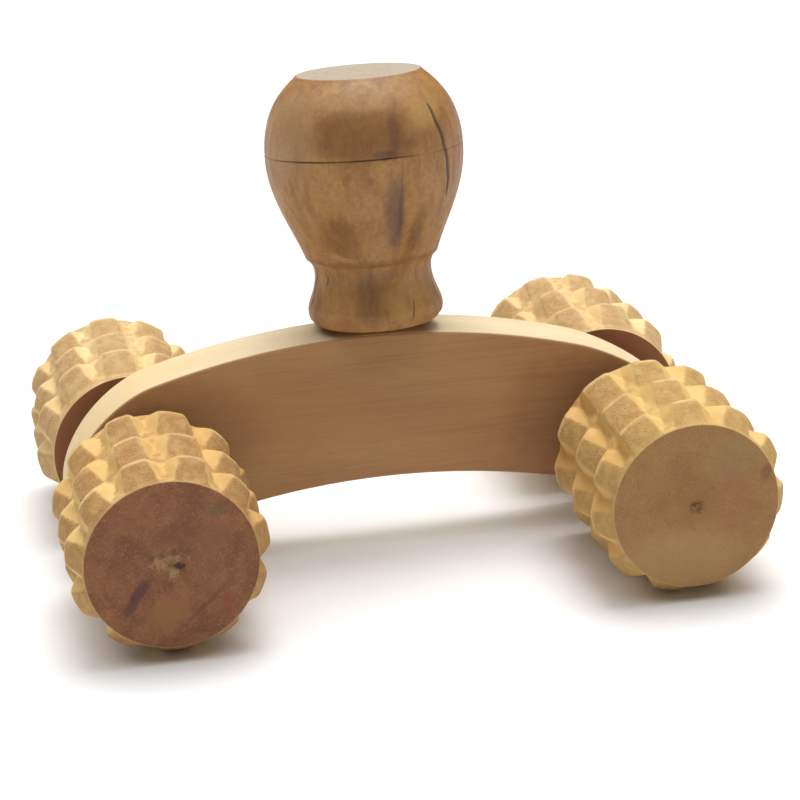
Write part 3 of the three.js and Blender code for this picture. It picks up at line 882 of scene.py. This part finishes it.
POLISHED = {
    "wood": paint(172, 124, 64),
    "wood_dark": paint(150, 103, 50),
    "mottle_dark": paint(132, 84, 44),
    "mottle_light": paint(190, 146, 78),
    "streak": paint(118, 74, 38),
    "fibre_dark": paint(110, 68, 36),
    "fibre_light": paint(186, 142, 86),
    "pore": paint(92, 56, 34),
    # the flat top, painted pale grey as a reflection of the bright sky
    "cap": paint(188, 170, 146),
    "cap_reflection_dark": paint(168, 146, 122),
    "cap_reflection_grey": paint(178, 168, 154),
    "scribed": paint(58, 34, 22),
    "check": paint(78, 48, 48),
    "stains_and_painted_light": KNOB_STAINS_AND_HIGHLIGHT,
}

# Each roller's turn in degrees, whether a stud (0) or a flute (0.5) is straight down under it, how far its
# rings fall short of full size, and the radius of its inner face.
ROLLERS = {
    "roller_front_left": {
        "turn": -0.2, "space": 0.0, "seed": 3, "chipped": True, "rings_off": (0, 0, 0),
        "inner_radius": 15.6, "tones": RAW_LEFT},
    "roller_front_right": {
        "turn": 2.1, "space": 0.5, "seed": 11, "chipped": False, "rings_off": (0, 0, 0),
        "inner_radius": 15.6, "tones": RAW_RIGHT},
    "roller_rear_left": {
        "turn": -3.7, "space": 0.5, "seed": 23, "chipped": False, "rings_off": (-0.8, -0.3, 0),
        "inner_radius": FACE_RADIUS, "tones": RAW_REAR},
    "roller_rear_right": {
        "turn": 0.0, "space": 0.0, "seed": 37, "chipped": False, "rings_off": (-0.6, 0, 0),
        "inner_radius": FACE_RADIUS, "tones": RAW_REAR},
}

# ---------------------------------------------------------------------------- the object

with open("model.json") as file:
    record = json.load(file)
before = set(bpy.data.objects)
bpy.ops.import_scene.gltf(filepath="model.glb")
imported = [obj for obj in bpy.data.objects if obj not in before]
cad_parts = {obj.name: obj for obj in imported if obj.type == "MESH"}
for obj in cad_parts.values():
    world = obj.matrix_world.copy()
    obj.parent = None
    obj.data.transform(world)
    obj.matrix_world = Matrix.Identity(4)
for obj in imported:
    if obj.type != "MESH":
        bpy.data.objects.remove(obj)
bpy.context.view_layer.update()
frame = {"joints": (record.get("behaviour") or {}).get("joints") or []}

joints = {joint["child"]: joint["pos_m"] for joint in frame["joints"]}
AXLE_HEIGHT = joints["wheelset_left"][2] / MM
STUD_DOWN = -math.pi / 2


def stand(piece, node, body, material):
    """Puts a finished piece in the place of its CAD node."""
    piece.data.materials.append(material)
    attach(piece, body)
    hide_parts(node)


for node, facts in ROLLERS.items():
    body = "wheelset_left" if node.endswith("left") else "wheelset_right"
    low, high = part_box(node)
    at_front = "front" in node
    angle = STUD_DOWN + facts["space"] * math.tau / COLUMN_COUNT + math.radians(facts["turn"])
    piece = make_roller(
        f"studded_{node}", angle, facts["seed"], facts["chipped"], facts["rings_off"], facts["inner_radius"])
    x, _, z = joints[body]
    turn = Matrix() if at_front else Matrix.Rotation(math.pi, 4, "Z")
    piece.matrix_world = Matrix.Translation((x, low.y if at_front else high.y, z)) @ turn
    stand(piece, node, body, roller_wood(f"wood_{node}", facts["seed"], facts["tones"]))

rod_material = rod_wood("wood_rods")
for node, body in (("axle_left", "wheelset_left"), ("axle_right", "wheelset_right")):
    low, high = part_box(node)
    rod = make_rod(f"rod_{node}", low.y / MM, high.y / MM)
    rod.location = (joints[body][0], 0, joints[body][2])
    stand(rod, node, body, rod_material)

seat = Matrix.Translation((0, 0, (AXLE_HEIGHT + TOP_ARC["rise"] + KNOB_GAP) * MM))
lean = Matrix.Rotation(-KNOB_LEAN_BACK, 4, "X") @ Matrix.Rotation(-KNOB_LEAN_LEFT, 4, "Y")
beam = make_beam("sawn_beam", AXLE_HEIGHT)
through = Matrix.Rotation(-math.pi / 2, 4, "X")
behind = (BEAM_THICKNESS / 2 + DRILL_OVERRUN) * MM
for body in ("wheelset_left", "wheelset_right"):
    x, _, z = joints[body]
    start = Matrix.Translation((x, behind, z)) @ through
    drill(beam, AXLE_BORE_RADIUS, BEAM_THICKNESS + 2 * DRILL_OVERRUN, start)
start = seat @ lean @ Matrix.Translation((0, 0, DRILL_OVERRUN * MM))
drill(beam, BORE_RADIUS, DOWEL_IN_BEAM + DRILL_OVERRUN, start)
beam.data.set_sharp_from_angle(angle=SHARP_ANGLE)
stand(beam, "beam", "frame", planed_wood("wood_beam"))

knob = make_knob("turned_knob")
knob.data.transform(lean)
knob.matrix_world = seat
stand(knob, "handle_knob", "frame", knob_wood("wood_knob"))
dowel = make_rod("rod_dowel", DOWEL_GAP - DOWEL_IN_BEAM, DOWEL_IN_KNOB - DOWEL_GAP)
upended = Matrix.Rotation(math.pi / 2, 4, "X")
dowel.data.transform(lean @ upended)
dowel.matrix_world = seat
stand(dowel, "handle_dowel", "frame", rod_material)

# ---------------------------------------------------------------------------- the studio

FLOOR_REACH = 6.0
FLOOR_ROUGHNESS = 0.7
SKY_COLOUR = (0.94, 0.97, 1, 1)
SKY_STRENGTH = 0.18

floor_mesh = bpy.data.meshes.new("floor")
corners = [(x * FLOOR_REACH, y * FLOOR_REACH, 0) for x, y in ((-1, -1), (1, -1), (1, 1), (-1, 1))]
floor_mesh.from_pydata(corners, [], [(0, 1, 2, 3)])
floor = bpy.data.objects.new("floor", floor_mesh)
bpy.context.scene.collection.objects.link(floor)
pale = Finish("pale_floor")
floor_mesh.materials.append(pale.finish(paint(240, 240, 240), FLOOR_ROUGHNESS))


def add_sun(name, strength, spread, direction):
    """A soft light from far off, spread over that many degrees."""
    light = bpy.data.lights.new(name, "SUN")
    light.energy = strength
    light.angle = math.radians(spread)
    sun = bpy.data.objects.new(name, light)
    sun.rotation_mode = "QUATERNION"
    sun.rotation_quaternion = Vector(direction).to_track_quat("-Z", "Y")
    bpy.context.scene.collection.objects.link(sun)


add_sun("overhead_softbox", strength=1.75, spread=36, direction=(-0.14, -0.22, -1))
add_sun("ceiling", strength=2.5, spread=92, direction=(0.0, -0.18, -1))

world = bpy.data.worlds.new("studio")
world.use_nodes = True
sky = world.node_tree.nodes["Background"]
sky.inputs["Color"].default_value = SKY_COLOUR
sky.inputs["Strength"].default_value = SKY_STRENGTH
bpy.context.scene.world = world

# ---------------------------------------------------------------------------- the camera

CAMERA_PLACE = (-0.096529, -0.530351, 0.206148)
CAMERA_YAW = 0.18762
CAMERA_PITCH = 0.31639
CAMERA_ROLL = -0.04403
SENSOR_WIDTH = 36.0
LENS = 121.594
CAMERA_NEAR = 0.01

ahead = Vector((
    math.sin(CAMERA_YAW) * math.cos(CAMERA_PITCH),
    math.cos(CAMERA_YAW) * math.cos(CAMERA_PITCH),
    -math.sin(CAMERA_PITCH),
))
sideways = Vector((math.cos(CAMERA_YAW), -math.sin(CAMERA_YAW), 0))
upward = sideways.cross(ahead)
right = sideways * math.cos(CAMERA_ROLL) + upward * math.sin(CAMERA_ROLL)
above = -sideways * math.sin(CAMERA_ROLL) + upward * math.cos(CAMERA_ROLL)
camera_data = bpy.data.cameras.new("camera")
camera_data.lens = LENS
camera_data.sensor_width = SENSOR_WIDTH
camera_data.clip_start = CAMERA_NEAR
camera = bpy.data.objects.new("camera", camera_data)
camera_turn = Matrix((right, above, -ahead)).transposed().to_4x4()
camera.matrix_world = Matrix.Translation(CAMERA_PLACE) @ camera_turn
bpy.context.scene.collection.objects.link(camera)
bpy.context.scene.camera = camera

bpy.context.scene.view_settings.view_transform = "Standard"
